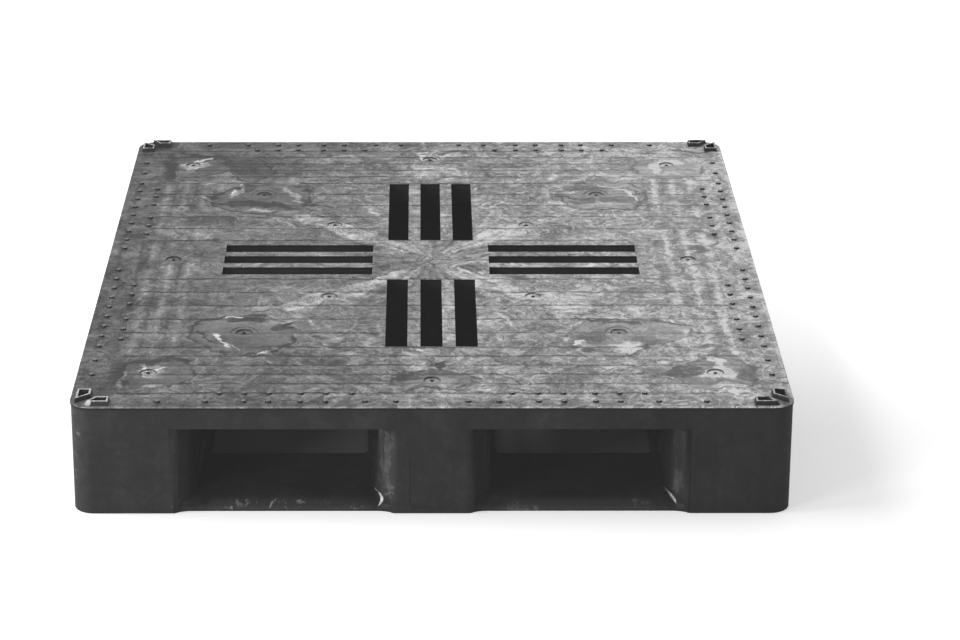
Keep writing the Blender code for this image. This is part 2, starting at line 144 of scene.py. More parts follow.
def linear(hex_colour):
    """An sRGB hex colour as linear RGBA."""
    channels = []
    for i in (0, 2, 4):
        value = int(hex_colour[i:i + 2], 16) / 255
        if value <= 0.04045:
            channels.append(value / 12.92)
        else:
            channels.append(((value + 0.055) / 1.055) ** 2.4)
    return (*channels, 1.0)


def new_material(name):
    material = bpy.data.materials.new(name)
    material.use_nodes = True
    material.node_tree.nodes.clear()
    return material


def add(tree, kind, inputs=None, **settings):
    """Adds a node, sets its properties, then its inputs by name or number, linked or plain.

    A node that is given as an input is linked by its first output.
    """
    node = tree.nodes.new(kind)
    for name, value in settings.items():
        setattr(node, name, value)
    for key, value in (inputs or {}).items():
        if isinstance(value, bpy.types.Node):
            value = value.outputs[0]
        if isinstance(value, bpy.types.NodeSocket):
            tree.links.new(value, node.inputs[key])
        else:
            node.inputs[key].default_value = value
    return node


def where(tree, *parts):
    """The product of masks. A part is a mask, or a soft step as value, start, end, low and high.

    A soft step goes from low to high as its value goes from start to end, by default from 0 to 1.
    """
    mask = None
    for part in parts:
        if isinstance(part, tuple):
            value, start, end, low, high = part if len(part) == 5 else (*part, 0.0, 1.0)
            limits = {"Value": value, "From Min": start, "From Max": end, "To Min": low, "To Max": high}
            part = add(tree, "ShaderNodeMapRange", limits, interpolation_type="SMOOTHSTEP")
        if mask is None:
            mask = part
        else:
            mask = add(tree, "ShaderNodeMath", {0: mask, 1: part}, operation="MULTIPLY")
    return mask


def band(tree, distance, low, high, soft=3 * MM):
    """1 where distance lies between low and high."""
    return where(tree, (distance, low - soft, low + soft), (distance, high - soft, high + soft, 1.0, 0.0))


def layered(tree, tone, *layers):
    """The tone with layers added to it, each a mask times its strength."""
    for mask, strength in layers:
        tone = add(tree, "ShaderNodeMath", {0: mask, 1: strength, 2: tone}, operation="MULTIPLY_ADD")
    return tone


def stirred(tree, tone, *noises):
    """The tone with noises added to it, each centred on one half and times its strength."""
    for noise, strength in noises:
        signed = add(tree, "ShaderNodeMath", {0: noise, 1: strength, 2: -0.5 * strength},
                     operation="MULTIPLY_ADD")
        if tone is None:
            tone = signed
        else:
            tone = add(tree, "ShaderNodeMath", {0: tone, 1: signed}, operation="ADD")
    return tone


def patterns(tree, place, **noises):
    """Fractal noises by name, given as features a metre, detail, roughness, distortion, stretch."""
    made = {}
    for name, (scale, detail, roughness, distortion, stretch) in noises.items():
        mapping = add(tree, "ShaderNodeMapping", {"Vector": place, "Scale": stretch})
        made[name] = add(tree, "ShaderNodeTexNoise", {"Vector": mapping, "Scale": scale, "Detail": detail,
                                                      "Roughness": roughness, "Distortion": distortion})
    return made


def lay_greys(ramp, stops):
    """Lays hex greys at their positions along a colour ramp."""
    elements = ramp.color_ramp.elements
    for element, (position, colour) in zip(elements, (stops[0], stops[-1])):
        element.position = position
        element.color = linear(colour)
    for position, colour in stops[1:-1]:
        elements.new(position).color = linear(colour)


def finish_material(tree, colour, roughness, height, depth, specular=0.3):
    """A Principled plastic with a bump of the given depth, in metres, and a faint painted glow that lifts its
    shade.
    """
    bump = add(tree, "ShaderNodeBump", {"Height": height, "Distance": depth, "Strength": 1.0})
    inputs = {"Base Color": colour, "Roughness": roughness, "Normal": bump,
              "IOR": 1.5, "Specular IOR Level": specular, "Metallic": 0.0,
              "Emission Color": WHITE, "Emission Strength": PAINTED_SHADE_GLOW}
    shader = add(tree, "ShaderNodeBsdfPrincipled", inputs)
    add(tree, "ShaderNodeOutputMaterial", {"Surface": shader})


# How a pattern is stretched: alike all ways, or drawn out down the walls
EVEN = (1.0, 1.0, 1.0)
UPRIGHT = (1.0, 1.0, 0.2)
STREAKED = (1.0, 1.0, 0.35)


def moulded_skin():
    """Recycled polyolefin straight from the mould: dull charcoal, cloudy, with a fine grain.

    The steel's spark-eroded grain is about 0.2 mm; it is drawn at 1.2 mm so that it shows.
    Painted light lies on the cheeks' rounded edges, the rail ramps, the lugs' rims and one lug's tip.
    """
    material = new_material("moulded_polyolefin_skin")
    tree = material.node_tree
    place = add(tree, "ShaderNodeTexCoord").outputs["Object"]
    axes = add(tree, "ShaderNodeSeparateXYZ", {0: place}).outputs

    # Clouds 140 mm across, runs 45 mm wide down the walls, blotches of 22 mm, mottle of 20 mm in the cheeks'
    # painted highlights, scuffs of 17 mm, breaks of 8 mm in the lugs' painted rim highlights and tears of 6
    # mm in the pale crescents
    noises = patterns(tree, place, clouds=(7.0, 5.0, 0.6, 0.4, EVEN), runs=(22.0, 5.0, 0.6, 0.2, UPRIGHT),
                      blotches=(45.0, 5.0, 0.65, 0.8, EVEN), grain=(1 / (1.2 * MM), 2.0, 0.5, 0.0, EVEN),
                      rubs=(50.0, 3.0, 0.6, 0.2, STREAKED), scuffs=(60.0, 6.0, 0.7, 1.2, EVEN),
                      nicks=(130.0, 3.0, 0.5, 0.0, EVEN), tears=(160.0, 3.0, 0.6, 0.0, EVEN))
    tone = stirred(tree, 0.5, (noises["clouds"], 0.9), (noises["runs"], 0.85), (noises["blotches"], 0.75))
    tone = painted_wall_light_and_shade(tree, tone, axes)
    tone = cheek_rubs(tree, tone, axes, noises["rubs"])
    tone = pale_foot_crescents(tree, tone, axes, noises["tears"])
    tone = ramps_and_lugs(tree, tone, place, axes, noises["scuffs"], noises["nicks"])

    # Tone runs from 0 to 2 on the ramp, so that the pale crescents can be paler than any painted highlight
    half_tone = add(tree, "ShaderNodeMath", {0: tone, 1: 0.5}, operation="MULTIPLY")
    ramp = add(tree, "ShaderNodeValToRGB", {"Fac": half_tone})
    lay_greys(ramp, [(0.025, "161616"), (0.25, "282828"), (0.40, "363636"), (0.50, "a6a6a6"),
                     (1.0, "f4f4f4")])
    roughness = where(tree, (noises["runs"], 0.35, 0.65, 0.44, 0.58))
    swell = add(tree, "ShaderNodeMath", {0: noises["clouds"], 1: 0.9}, operation="MULTIPLY")
    relief = add(tree, "ShaderNodeMath", {0: noises["grain"], 1: 0.22, 2: swell}, operation="MULTIPLY_ADD")
    finish_material(tree, ramp, roughness, relief, 0.6 * MM, 0.2)
    return material


def painted_wall_light_and_shade(tree, tone, axes):
    """The walls' painted light and shade: a painted reflection on the header, painted light on the left
    corner, a painted shadow line under the deck's lip and painted shade towards the right.
    """
    header_painted_reflection = where(tree, (axes["Z"], DECK_BOTTOM - 4 * MM, DECK_BOTTOM + 2 * MM),
                   (axes["Z"], DECK_TOP - 16 * MM, DECK_TOP - 9 * MM, 1.0, 0.0))
    lip_painted_shadow = where(tree, (axes["Z"], DECK_TOP - 5 * MM, DECK_TOP - 3 * MM),
                      (axes["Z"], DECK_TOP - 1.2 * MM, DECK_TOP - 0.6 * MM, 1.0, 0.0))
    # Painted shade: the walls are painted darker towards the right, away from the key light
    right = where(tree, (axes["X"], 0.10, 0.45))
    corner_painted_light = where(tree, (axes["X"], -0.490, -0.475, 1.0, 0.0))
    return layered(tree, tone, (header_painted_reflection, 0.02), (lip_painted_shadow, -0.5), (right, -0.08), (corner_painted_light, 0.11))


def cheek_rubs(tree, tone, axes, rubs):
    """Painted highlights along the cheeks' rounded edges at the fork mouths, mottled."""
    at_front = where(tree, (axes["Y"], -0.570, -0.540, 1.0, 0.0))
    on_cheek = where(tree, at_front, band(tree, axes["Z"], PAINTED_HIGHLIGHT_FOOT, PAINTED_HIGHLIGHT_HEAD, 5 * MM),
                     (rubs, 0.3, 0.7, 0.76, 0.92))
    for edge in PAINTED_HIGHLIGHT_EDGES:
        highlight_band = where(tree, (axes["X"], edge - 44 * MM, edge - 20 * MM),
                       (axes["X"], edge - 6 * MM, edge + 3 * MM, 1.0, 0.0))
        tone = add(tree, "ShaderNodeMix", {0: where(tree, highlight_band, on_cheek), 2: tone, 3: PAINTED_LIGHT_TONE},
                   data_type="FLOAT")
    return tone


def pale_foot_crescents(tree, tone, axes, tears):
    """Pale curved crescents along the cheeks' feet, thickest below their middle."""
    level = add(tree, "ShaderNodeMath", {0: axes["Y"], 1: SLOPE_Y}, operation="MULTIPLY")
    slope = add(tree, "ShaderNodeMath", {0: axes["Z"], 1: SLOPE_Z, 2: level}, operation="MULTIPLY_ADD")
    at_front = where(tree, (axes["Y"], -0.555, -0.545, 1.0, 0.0))
    broken_up = where(tree, (tears, 0.36, 0.60, 0.50, 1.0))
    for foot, top, length, lean, bow in PALE_FOOT_CRESCENTS:
        down = add(tree, "ShaderNodeMath", {0: top, 1: slope}, operation="SUBTRACT")
        bowed = add(tree, "ShaderNodeMath", {0: down, 1: bow, 2: lean}, operation="MULTIPLY_ADD")
        line = add(tree, "ShaderNodeMath", {0: down, 1: bowed}, operation="MULTIPLY")
        aside = add(tree, "ShaderNodeMath", {0: axes["X"], 1: foot}, operation="SUBTRACT")
        drift = add(tree, "ShaderNodeMath", {0: aside, 1: line}, operation="SUBTRACT")
        off_line = add(tree, "ShaderNodeMath", {0: drift}, operation="ABSOLUTE")
        taper = where(tree, (down, 0.0, 0.6 * length, 0.3, 1.0), (down, 0.75 * length, length, 1.0, 0.35))
        spread = add(tree, "ShaderNodeMath", {0: off_line, 1: taper}, operation="DIVIDE")
        crescent = where(tree, (spread, 0.8 * MM, 3.0 * MM, 1.0, 0.0), where(tree, taper, at_front))
        crescent = where(tree, crescent, band(tree, down, 0.0, length, 1 * MM), broken_up)
        tone = layered(tree, tone, (crescent, 1.45))
    return tone


def ramps_and_lugs(tree, tone, place, axes, scuffs, nicks):
    """Rail ramps painted pale as light, scuffs low down in the fork mouths, and painted highlights on one
    lug's tip and the lugs' rims.
    """
    aside = add(tree, "ShaderNodeMath", {0: axes["X"]}, operation="ABSOLUTE")
    # Painted light: the ramps facing up and forwards are painted pale
    ramp = where(tree, (axes["Z"], 0.011, 0.016, 1.0, 0.0),
                 band(tree, axes["Y"], RAMP_FRONT, RAMP_BACK, 1.5 * MM))
    ramp = where(tree, ramp, band(tree, aside, RAMP_START, RAMP_END, 10 * MM))
    painted_ramp_light = add(tree, "ShaderNodeMath", {0: ramp, 1: 0.75}, operation="MULTIPLY")
    tone = add(tree, "ShaderNodeMix", {0: painted_ramp_light, 2: tone, 3: PAINTED_LIGHT_TONE}, data_type="FLOAT")

    # Painted highlight on one lug's tip, and painted highlights along the lugs' rims
    from_tip = add(tree, "ShaderNodeVectorMath", {0: place, 1: LUG_TIP_HIGHLIGHT}, operation="DISTANCE")
    lug_tip_highlight = where(tree, (from_tip.outputs["Value"], 3.0 * MM, 6.5 * MM, 1.0, 0.0))
    low_down = where(tree, (axes["Z"], RAIL_TOP - 2 * MM, RAIL_TOP + 14 * MM, 1.0, 0.35),
                     (axes["X"], -0.10, 0.02, 1.0, 0.30))
    scuffed = where(tree, (scuffs, 0.50, 0.72), low_down)
    painted_rim_highlights = where(tree, (axes["Z"], LUG_TOP - 0.8 * MM, LUG_TOP - 0.2 * MM),
                      (nicks, 0.36, 0.62, 0.60, 1.1))
    return layered(tree, tone, (lug_tip_highlight, 0.62), (scuffed, 0.19), (painted_rim_highlights, 0.62))


def frayed(tree, place, coarse, fine):
    """Object coordinates pushed about by two noises, so that what is drawn on them has torn edges."""
    for scale, amount in ((17.0, coarse), (75.0, fine)):
        push = add(tree, "ShaderNodeTexNoise", {"Vector": place, "Scale": scale, "Detail": 3.0})
        level = add(tree, "ShaderNodeVectorMath", {0: push.outputs["Color"], 1: (0.5, 0.5, 0.5)},
                    operation="SUBTRACT")
        place = add(tree, "ShaderNodeVectorMath", {0: level, 1: (amount, amount, 0.0), 2: place},
                    operation="MULTIPLY_ADD").outputs[0]
    return place


def leaf_group():
    """A node group that lays one bent oval leaf on the deck.

    Deck carries the place in X and Y and the tone so far in Z, so that one leaf follows another
    in a chain: side by side, a hundred leaves would need more working room than a shader has.
    """
    tree = bpy.data.node_groups.new("bent_leaf", "ShaderNodeTree")
    for name, kind in (("Deck", "NodeSocketVector"), ("Middle", "NodeSocketVector"),
                       ("Turn", "NodeSocketVector"), ("Half size", "NodeSocketVector"),
                       ("Bend", "NodeSocketFloat"), ("Edge", "NodeSocketFloat"),
                       ("Strength", "NodeSocketFloat")):
        tree.interface.new_socket(name, in_out="INPUT", socket_type=kind)
    tree.interface.new_socket("Deck", in_out="OUTPUT", socket_type="NodeSocketVector")
    start = add(tree, "NodeGroupInput").outputs
    deck = add(tree, "ShaderNodeSeparateXYZ", {0: start["Deck"]}).outputs
    local = add(tree, "ShaderNodeMapping", {"Vector": start["Deck"], "Location": start["Middle"],
                                            "Rotation": start["Turn"], "Scale": start["Half size"]},
                vector_type="TEXTURE")
    axes = add(tree, "ShaderNodeSeparateXYZ", {0: local}).outputs
    squared = add(tree, "ShaderNodeMath", {0: axes["X"], 1: axes["X"]}, operation="MULTIPLY")
    aside = add(tree, "ShaderNodeMath", {0: squared, 1: start["Bend"], 2: axes["Y"]},
                operation="MULTIPLY_ADD")
    distance = add(tree, "ShaderNodeMath", {0: aside, 1: aside, 2: squared}, operation="MULTIPLY_ADD")
    inner = add(tree, "ShaderNodeMath", {0: 1.0, 1: start["Edge"]}, operation="SUBTRACT")
    mask = where(tree, (distance, inner, 1.0, 1.0, 0.0))
    tone = layered(tree, deck["Z"], (mask, start["Strength"]))
    result = add(tree, "ShaderNodeCombineXYZ", {0: deck["X"], 1: deck["Y"], 2: tone})
    add(tree, "NodeGroupOutput", {"Deck": result})
    return tree


def laid_leaves(tree, group, place, leaves, edge):
    """The summed tones of leaves, given as x, y, length, width, turn, bend and strength."""
    axes = add(tree, "ShaderNodeSeparateXYZ", {0: place}).outputs
    deck = add(tree, "ShaderNodeCombineXYZ", {0: axes["X"], 1: axes["Y"]})
    for x, y, length, width, turn, bend, strength in leaves:
        leaf = add(tree, "ShaderNodeGroup", node_tree=group)
        tree.links.new(deck.outputs[0], leaf.inputs["Deck"])
        leaf.inputs["Middle"].default_value = (x * MM, y * MM, 0.0)
        leaf.inputs["Turn"].default_value = (0.0, 0.0, math.radians(turn))
        leaf.inputs["Half size"].default_value = (length / 2 * MM, width / 2 * MM, 1.0)
        leaf.inputs["Bend"].default_value = bend
        leaf.inputs["Edge"].default_value = edge
        leaf.inputs["Strength"].default_value = strength
        deck = leaf
    return add(tree, "ShaderNodeSeparateXYZ", {0: deck}).outputs["Z"]


def rows(tree, distance, ribs, shift, width):
    """Soft lines over ribs, moved outwards by shift, only between the ribs' start and end."""
    first, pitch, low, high = ribs
    from_first = add(tree, "ShaderNodeMath", {0: distance, 1: first + shift}, operation="SUBTRACT")
    steps = add(tree, "ShaderNodeMath", {0: from_first, 1: pitch}, operation="DIVIDE")
    moved = add(tree, "ShaderNodeMath", {0: steps, 1: 0.5}, operation="ADD")
    phase = add(tree, "ShaderNodeMath", {0: moved}, operation="FRACT")
    signed = add(tree, "ShaderNodeMath", {0: phase, 1: 0.5}, operation="SUBTRACT")
    off_line = add(tree, "ShaderNodeMath", {0: signed}, operation="ABSOLUTE")
    return where(tree, (off_line, 0.0, width / pitch, 1.0, 0.0), band(tree, distance, low, high, 1 * MM))


def rays(tree, place, middle, count, length):
    """Noise drawn out into rays from a middle, about count in a turn, broken every length."""
    local = add(tree, "ShaderNodeVectorMath", {0: place, 1: (*middle, DECK_TOP)}, operation="SUBTRACT")
    distance = add(tree, "ShaderNodeVectorMath", {0: local}, operation="LENGTH").outputs["Value"]
    heading = add(tree, "ShaderNodeVectorMath", {0: local}, operation="NORMALIZE")
    axes = add(tree, "ShaderNodeSeparateXYZ", {0: heading}).outputs
    spread = count / math.tau
    across = add(tree, "ShaderNodeMath", {0: axes["X"], 1: spread}, operation="MULTIPLY")
    along = add(tree, "ShaderNodeMath", {0: axes["Y"], 1: spread}, operation="MULTIPLY")
    outwards = add(tree, "ShaderNodeMath", {0: distance, 1: length}, operation="DIVIDE")
    spun = add(tree, "ShaderNodeCombineXYZ", {0: across, 1: along, 2: outwards})
    streaks = add(tree, "ShaderNodeTexNoise", {"Vector": spun, "Scale": 1.0, "Detail": 5.0,
                                               "Roughness": 0.62})
    return streaks, distance


# What the melt left on the deck, and painted light and shade on one pool. Each leaf is its middle, its length
# and width, its turn in degrees, its bend and how much lighter it is. Millimetres, seen from above with the
# back up.
CALM_POOLS = (
    (-275, 292, 165, 150, 15, 0.0, 1.0), (286, 308, 150, 165, 0, 0.0, 1.0),
    (-272, -322, 165, 165, 0, 0.0, 1.0), (288, -316, 185, 125, 0, 0.0, 1.0),
    (-392, 468, 130, 120, 0, 0.0, 1.0), (-305, 452, 80, 130, 20, 0.0, 1.0),
    (398, 452, 130, 120, 0, 0.0, 1.0), (-393, -468, 120, 125, 0, 0.0, 1.0),
    (402, -478, 120, 130, 10, 0.0, 1.0), (2, -497, 110, 70, 0, 0.0, 1.0),
)
DARK_LEAVES = (
    (-275, 262, 150, 34, -8, 0.30, -0.27), (-300, 345, 60, 40, 60, 0.0, -0.20),
    (-345, 272, 90, 7, -38, 0.0, -0.37), (-262, 212, 95, 7, -20, 0.3, -0.34),
    # The second leaf below paints shade on the upper half of a pool, so that it looks bulged
    (-205, 275, 30, 60, 20, 0.0, -0.20), (262, 352, 84, 34, 10, 0.4, -0.36),
    (240, 300, 60, 12, -22, 0.4, -0.40), (345, 268, 12, 90, -25, 0.3, -0.20),
    (338, 328, 84, 6, -60, 0.3, -0.50), (309, 290, 84, 30, 4, 0.0, -0.30),
    (248, 284, 52, 22, 0, 0.0, -0.28), (215, 305, 30, 70, -10, 0.0, -0.26),
    (300, 232, 110, 10, 8, -0.6, -0.46), (424, 52, 44, 34, 0, 0.0, -0.30),
    (-262, -262, 70, 20, 0, 0.4, -0.41), (-215, -290, 36, 44, -40, 0.0, -0.27),
    (-218, -390, 80, 6, 55, 0.0, -0.34), (-330, -335, 70, 6, -62, 0.0, -0.31),
    (264, -268, 124, 22, -2, 0.5, -0.60), (236, -332, 50, 44, 0, 0.0, -0.26),
    (316, -346, 64, 46, 0, 0.0, -0.24), (208, -373, 46, 7, 6, 0.0, -0.50),
    (345, -274, 96, 12, -16, 0.3, -0.48), (300, -385, 90, 7, 48, 0.0, -0.37),
    (228, -380, 22, 16, -30, 0.0, -0.51), (-440, 460, 34, 150, 0, 0.0, -0.20),
    (-312, 455, 66, 120, 25, 0.0, -0.19), (-372, 512, 110, 26, -35, 0.0, -0.17),
    (325, 470, 50, 110, 10, 0.0, -0.20), (440, 545, 90, 14, -12, 0.4, -0.44),
    (380, 535, 40, 14, 10, 0.3, -0.34), (-395, -425, 120, 22, 0, 0.0, -0.24),
    (-450, -470, 20, 110, 0, 0.0, -0.20), (354, -470, 64, 54, 20, 0.0, -0.52),
    (450, -470, 40, 76, 0, 0.0, -0.34), (403, -365, 14, 30, -20, 0.0, -0.75),
    (12, -437, 14, 52, -15, 0.2, -0.58), (0, -478, 110, 40, 0, 0.3, -0.22),
    (2, -536, 100, 10, 0, -0.3, -0.34), (-35, -480, 40, 40, 0, 0.0, -0.20),
    (22, 537, 40, 22, 0, 0.0, -0.37), (58, -40, 34, 26, -35, 0.6, -0.44),
    (0, -20, 7, 70, 0, 0.0, -0.27), (460, 220, 50, 12, 5, 0.3, -0.44),
    (-60, 455, 90, 26, 0, 0.0, -0.17), (120, 465, 150, 22, 0, 0.0, -0.17),
)
LIGHT_LEAVES = (
    (-312, 335, 70, 15, 72, 0.5, 0.42), (-322, 322, 50, 8, 80, 0.0, 0.44),
    (-228, 320, 58, 15, -70, 0.6, 0.36), (-268, 237, 62, 9, 0, 0.4, 0.36),
    (-222, 288, 24, 8, -50, 0.0, 0.46), (-232, 372, 40, 16, 10, 0.0, 0.25),
    (-305, 375, 34, 10, 60, 0.0, 0.34), (303, 362, 46, 8, -18, -0.4, 0.56),
    (328, 318, 86, 8, -62, 0.3, 0.64), (321, 401, 60, 12, 8, 0.4, 0.42),
    (250, 384, 60, 10, -5, 0.2, 0.30), (268, 232, 60, 14, 12, 0.5, 0.39),
    # The first leaf below paints light on the lower half of that pool
    (290, 268, 110, 44, 5, 0.0, 0.14), (225, 330, 24, 24, 30, 0.0, 0.30),
    (-306, -350, 62, 9, -62, 0.4, 0.58), (-290, -362, 50, 5, -60, 0.3, 0.46),
    (-284, -250, 50, 10, 10, 0.5, 0.53), (-213, -273, 16, 16, 45, 0.0, 0.48),
    (-240, -398, 34, 15, 30, 0.0, 0.41), (-182, -270, 9, 44, 20, 0.6, 0.30),
    (272, -254, 70, 6, 0, -0.6, 0.62), (273, -266, 40, 4, 0, -0.5, 0.34),
    (282, -372, 58, 50, 0, 0.3, 0.50), (262, -368, 44, 14, -10, 0.5, 0.41),
    (213, -354, 40, 15, 48, 0.6, 0.80), (330, -340, 40, 40, 0, 0.0, 0.16),
    (370, -350, 60, 60, 0, 0.0, 0.18), (-398, 470, 62, 44, 10, 0.0, 0.44),
    (-398, 452, 18, 40, 10, 0.0, 0.22), (-382, 497, 46, 9, 28, 0.3, 0.71),
    (-410, 425, 40, 50, 0, 0.0, 0.16), (402, 476, 66, 50, 0, 0.0, 0.46),
    (382, 452, 34, 52, 25, 0.0, 0.46), (402, 430, 70, 34, 0, 0.0, 0.18),
    (400, 510, 60, 24, 0, 0.0, 0.18), (410, 545, 70, 14, -8, 0.3, 0.25),
    (-399, -462, 44, 56, 10, 0.0, 0.36), (-388, -452, 30, 8, 25, 0.0, 0.40),
    (-412, -450, 9, 40, 20, 0.0, 0.36), (-395, -522, 40, 20, 0, 0.4, 0.30),
    (-440, -500, 9, 80, 0, 0.3, 0.28), (404, -474, 80, 56, 5, 0.0, 0.48),
    (402, -430, 20, 46, 10, 0.0, 0.60), (414, -520, 60, 34, -10, 0.6, 0.37),
    (416, -540, 60, 9, 0, 0.5, 0.46), (385, -400, 60, 30, 20, 0.0, 0.21),
    (0, 455, 12, 52, 90, 0.0, 0.46), (0, 440, 130, 100, 0, 0.0, 0.10),
    (-12, 508, 16, 26, 30, 0.5, 0.46), (12, 505, 14, 24, -30, -0.5, 0.37),
    (-10, 540, 8, 40, -15, 0.3, 0.28), (0, -500, 60, 60, 0, 0.0, 0.11),
    (-132, 156, 26, 10, -5, 0.0, 0.39), (-125, -140, 330, 60, 40, 0.0, 0.27),
    (125, -135, 330, 54, -40, 0.0, 0.25), (-125, 130, 330, 44, -42, 0.0, 0.23),
    (125, 130, 330, 44, 42, 0.0, 0.22), (-60, -70, 120, 10, 40, 0.0, 0.14),
    (62, 52, 130, 9, 40, 0.0, 0.14), (-66, 54, 130, 8, -40, 0.0, 0.12),
    (66, -66, 130, 10, -42, 0.0, 0.16), (90, -250, 5, 150, 3, 0.0, 0.23),
    (108, -280, 90, 7, -62, -0.2, 0.28), (130, -330, 5, 130, 2, 0.0, 0.18),
    (-112, 272, 80, 6, -62, 0.2, 0.14), (-92, 240, 6, 120, 4, 0.0, 0.14),
    (112, 262, 80, 6, 60, -0.2, 0.25), (92, 235, 6, 120, -4, 0.0, 0.21),
    (-118, -300, 90, 5, 55, 0.0, 0.23), (210, 150, 150, 5, 42, 0.0, 0.18),
    (-200, 150, 150, 5, -42, 0.0, 0.16), (430, 372, 60, 12, -14, 0.3, 0.30),
    (455, 402, 40, 22, 20, 0.0, 0.18), (-372, 375, 40, 8, 20, 0.0, 0.23),
    (42, -34, 30, 8, 40, 0.6, 0.41), (62, -12, 40, 6, 20, 0.5, 0.30),
)


def flow_marked_deck(leaves):
    """The deck's face: charcoal polyolefin greyed by flow marks from sixteen gates and by a painted sheen
    that grows towards the right.

    Melt that races from a gate leaves a calm pool with torn pale rims, then wrinkles where it
    slows. Ribs under the skin show as sink lines, and the fronts meet in a star at the middle.
    """
    material = new_material("flow_marked_polyolefin_painted_sheen")
    tree = material.node_tree
    place = add(tree, "ShaderNodeTexCoord").outputs["Object"]
    axes = add(tree, "ShaderNodeSeparateXYZ", {0: place}).outputs
    torn = frayed(tree, place, 0.055, 0.022)
    torn_axes = add(tree, "ShaderNodeSeparateXYZ", {0: torn}).outputs
    across = add(tree, "ShaderNodeMath", {0: torn_axes["X"]}, operation="ABSOLUTE")
    along = add(tree, "ShaderNodeMath", {0: torn_axes["Y"]}, operation="ABSOLUTE")
    wavy = frayed(tree, place, 0.009, 0.008)

    # Folds 42 mm apart at the pools' rims and breaks in the sink lines, side bands of 90 mm,
    # clouds of 140 mm and flecks of 4 mm
    noises = patterns(tree, place, folds=(24.0, 4.0, 0.6, 0.0, EVEN), breaks=(24.0, 4.0, 0.7, 0.0, EVEN),
                      bands=(11.0, 4.0, 0.5, 0.0, EVEN), clouds=(7.0, 5.0, 0.60, 0.8, EVEN),
                      flecks=(230.0, 2.0, 0.6, 0.0, EVEN))
    calm = laid_leaves(tree, leaves, torn, CALM_POOLS, 0.25)
    calm = add(tree, "ShaderNodeMath", {0: calm, 1: 1.0}, operation="MINIMUM")
    lively = add(tree, "ShaderNodeMix", {0: calm, 2: 1.0, 3: 0.45}, data_type="FLOAT")
    # Painted sheen: the deck is painted paler and more contrasty towards the right
    painted_sheen = where(tree, (axes["X"], -0.52, 0.50))
    contrast = add(tree, "ShaderNodeMath", {0: painted_sheen, 1: 0.85, 2: 0.79}, operation="MULTIPLY_ADD")
    crisp = where(tree, lively, contrast)

    detail, grain, threads = melt_wrinkles(tree, torn, wavy, across, along)
    tone = add(tree, "ShaderNodeMath", {0: detail, 1: crisp, 2: 0.48}, operation="MULTIPLY_ADD")
    tone = layered(tree, tone, (calm, -0.05))
    tone = stirred(tree, tone, (noises["clouds"], 0.80))
    tone = layered(tree, tone, (stirred(tree, None, (grain, 1.35)), crisp))
    tone = pool_rims(tree, tone, calm, noises["folds"])
    tone = layered(tree, tone, (where(tree, threads, lively), 0.13))
    tone = gate_fans(tree, tone, wavy)
    tone = stirred(tree, tone, (painted_sheen, 0.32))
    tone = edge_tones(tree, tone, axes, torn_axes, along)
    tone = rib_marks(tree, tone, axes, wavy, along, lively, noises["breaks"], noises["bands"])
    tone = slot_bars(tree, tone, axes)

    # Torn leaves round the gates, lit and shaded inside by their own fine wrinkles of 9 mm
    inner = patterns(tree, wavy, wrinkles=(110.0, 5.0, 0.7, 1.6, EVEN))["wrinkles"]
    inside = where(tree, (inner, 0.36, 0.60, 0.55, 1.30))
    shading = laid_leaves(tree, leaves, torn, DARK_LEAVES + LIGHT_LEAVES, 0.7)
    pale_flecks = where(tree, (noises["flecks"], 0.66, 0.74))
    dark_flecks = where(tree, (noises["flecks"], 0.34, 0.26))
    tone = layered(tree, tone, (shading, inside), (pale_flecks, 0.20), (dark_flecks, -0.16))

    # The deck's greys are far paler than the skin's: partly flow marks and scuffs, partly a painted sheen
    ramp = add(tree, "ShaderNodeValToRGB", {"Fac": tone})
    lay_greys(ramp, [(0.0, "2c2c2c"), (0.25, "555555"), (0.50, "828282"), (0.75, "b2b2b2"), (1.0, "dedede")])
    roughness = where(tree, (tone, 0.2, 0.8, 0.40, 0.58))
    finish_material(tree, ramp, roughness, detail, 1.4 * MM)
    return material


def melt_wrinkles(tree, torn, wavy, across, along):
    """Wrinkles across the ends, along the sides and in rays round the middle, grain and threads."""
    # Wrinkles 23 mm apart, mottle of 30 mm, grain of 7 mm and threads 38 mm apart
    noises = patterns(tree, torn, ends=(44.0, 7.0, 0.66, 0.9, (0.75, 0.80, 1.0)),
                      sides=(44.0, 7.0, 0.64, 0.8, (1.2, 0.45, 1.0)), mottle=(34.0, 6.0, 0.62, 1.6, EVEN),
                      grain=(150.0, 5.0, 0.70, 1.2, (0.9, 0.8, 1.0)), threads=(26.0, 4.0, 0.6, 2.2, EVEN))
    at_sides = where(tree, (across, 0.300, 0.360), (along, 0.330, 0.390, 1.0, 0.0))
    wrinkles = add(tree, "ShaderNodeMix", {0: at_sides, 2: noises["ends"], 3: noises["sides"]},
                   data_type="FLOAT")
    middle_rays, middle_distance = rays(tree, wavy, (0.0, 0.0), 60, 0.11)
    near_middle = where(tree, (middle_distance, 0.13, 0.34, 0.85, 0.0))
    wrinkles = add(tree, "ShaderNodeMix", {0: near_middle, 2: wrinkles, 3: middle_rays}, data_type="FLOAT")
    detail = stirred(tree, None, (wrinkles, 1.05), (noises["mottle"], 0.72))

    signed = add(tree, "ShaderNodeMath", {0: noises["threads"], 1: 0.5}, operation="SUBTRACT")
    off_thread = add(tree, "ShaderNodeMath", {0: signed}, operation="ABSOLUTE")
    threads = where(tree, (off_thread, 0.0, 0.016, 1.0, 0.0))
    return detail, noises["grain"], threads


def pool_rims(tree, tone, calm, folds):
    """The pools' torn rims, dark where the skin folded over."""
    outside = add(tree, "ShaderNodeMath", {0: 1.0, 1: calm}, operation="SUBTRACT")
    rims = where(tree, calm, outside)
    return layered(tree, tone, (where(tree, rims, (folds, 0.38, 0.54, 0.4, 4.0)), -0.40))


